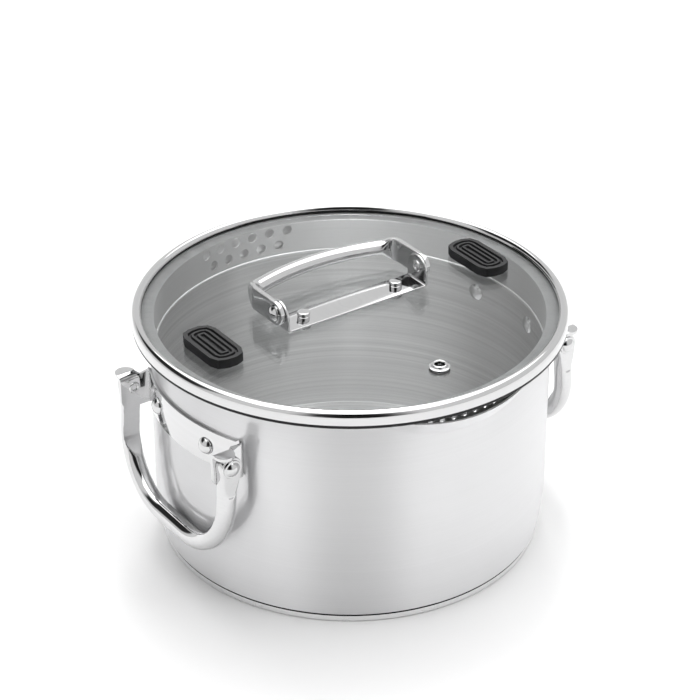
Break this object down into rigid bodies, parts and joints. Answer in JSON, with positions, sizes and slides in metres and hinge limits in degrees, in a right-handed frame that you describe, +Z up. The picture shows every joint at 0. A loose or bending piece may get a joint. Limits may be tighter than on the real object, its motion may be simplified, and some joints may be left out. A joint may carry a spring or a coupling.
{
  "type": "water bath canner",
  "caption": "Wide stainless canning pot with pouring lips, a flat glass lid with a strainer skirt and vent, folding lid bail and drop side handles.",
  "frame": {"origin": "centre of the base, on the surface it stands on", "axes": "+Z up through the lid, +X through the right side handle, pouring lips on -Y (small strainer holes) and +Y (large strainer holes)"},
  "size_m": [0.2858, 0.2814, 0.1794],
  "materials": {
    "pot_steel": "mirror polished outside, satin inside",
    "base_steel": "satin turned",
    "polished_steel": "mirror polished",
    "satin_steel": "satin brushed",
    "core_aluminium": "as cast, sealed inside the base",
    "lid_glass": "clear tempered",
    "silicone": "moulded, satin"
  },
  "bodies": {
    "pot": {"pot_body": "pot_steel", "base_cap": "base_steel", "base_core": "core_aluminium", "left_handle_bracket": "polished_steel", "left_bracket_rivets": "polished_steel", "left_pivot_rivets": "polished_steel", "right_handle_bracket": "polished_steel", "right_bracket_rivets": "polished_steel", "right_pivot_rivets": "polished_steel"},
    "lid": {"strainer_ring": "satin_steel", "lid_rim": "polished_steel", "lid_glass": "lid_glass", "vent_eyelet": "polished_steel", "left_thumb_pad": "silicone", "right_thumb_pad": "silicone", "lid_handle_bracket": "polished_steel", "lid_handle_rivets": "polished_steel", "lid_handle_gaskets": "silicone", "lid_under_gaskets": "silicone", "lid_handle_nuts": "polished_steel", "lid_handle_screws": "polished_steel"},
    "lid_bail": {"lid_handle": "polished_steel"},
    "left_grip": {"left_handle": "polished_steel"},
    "right_grip": {"right_handle": "polished_steel"}
  },
  "joints": [
    {"name": "lid_lift", "type": "slide", "parent": "pot", "child": "lid", "axis": [0, 0, 1], "range_m": [0, 0.2]},
    {"name": "lid_bail_hinge", "type": "hinge", "parent": "lid", "child": "lid_bail", "pos_m": [0, 0, 0.1712], "axis": [1, 0, 0], "range_deg": [0, 180]},
    {"name": "right_grip_hinge", "type": "hinge", "parent": "pot", "child": "right_grip", "pos_m": [0.1314, 0, 0.1156], "axis": [0, -1, 0], "range_deg": [0, 86.5]},
    {"name": "left_grip_hinge", "type": "hinge", "parent": "pot", "child": "left_grip", "pos_m": [-0.1314, 0, 0.1156], "axis": [0, 1, 0], "range_deg": [0, 86.5]}
  ]
}
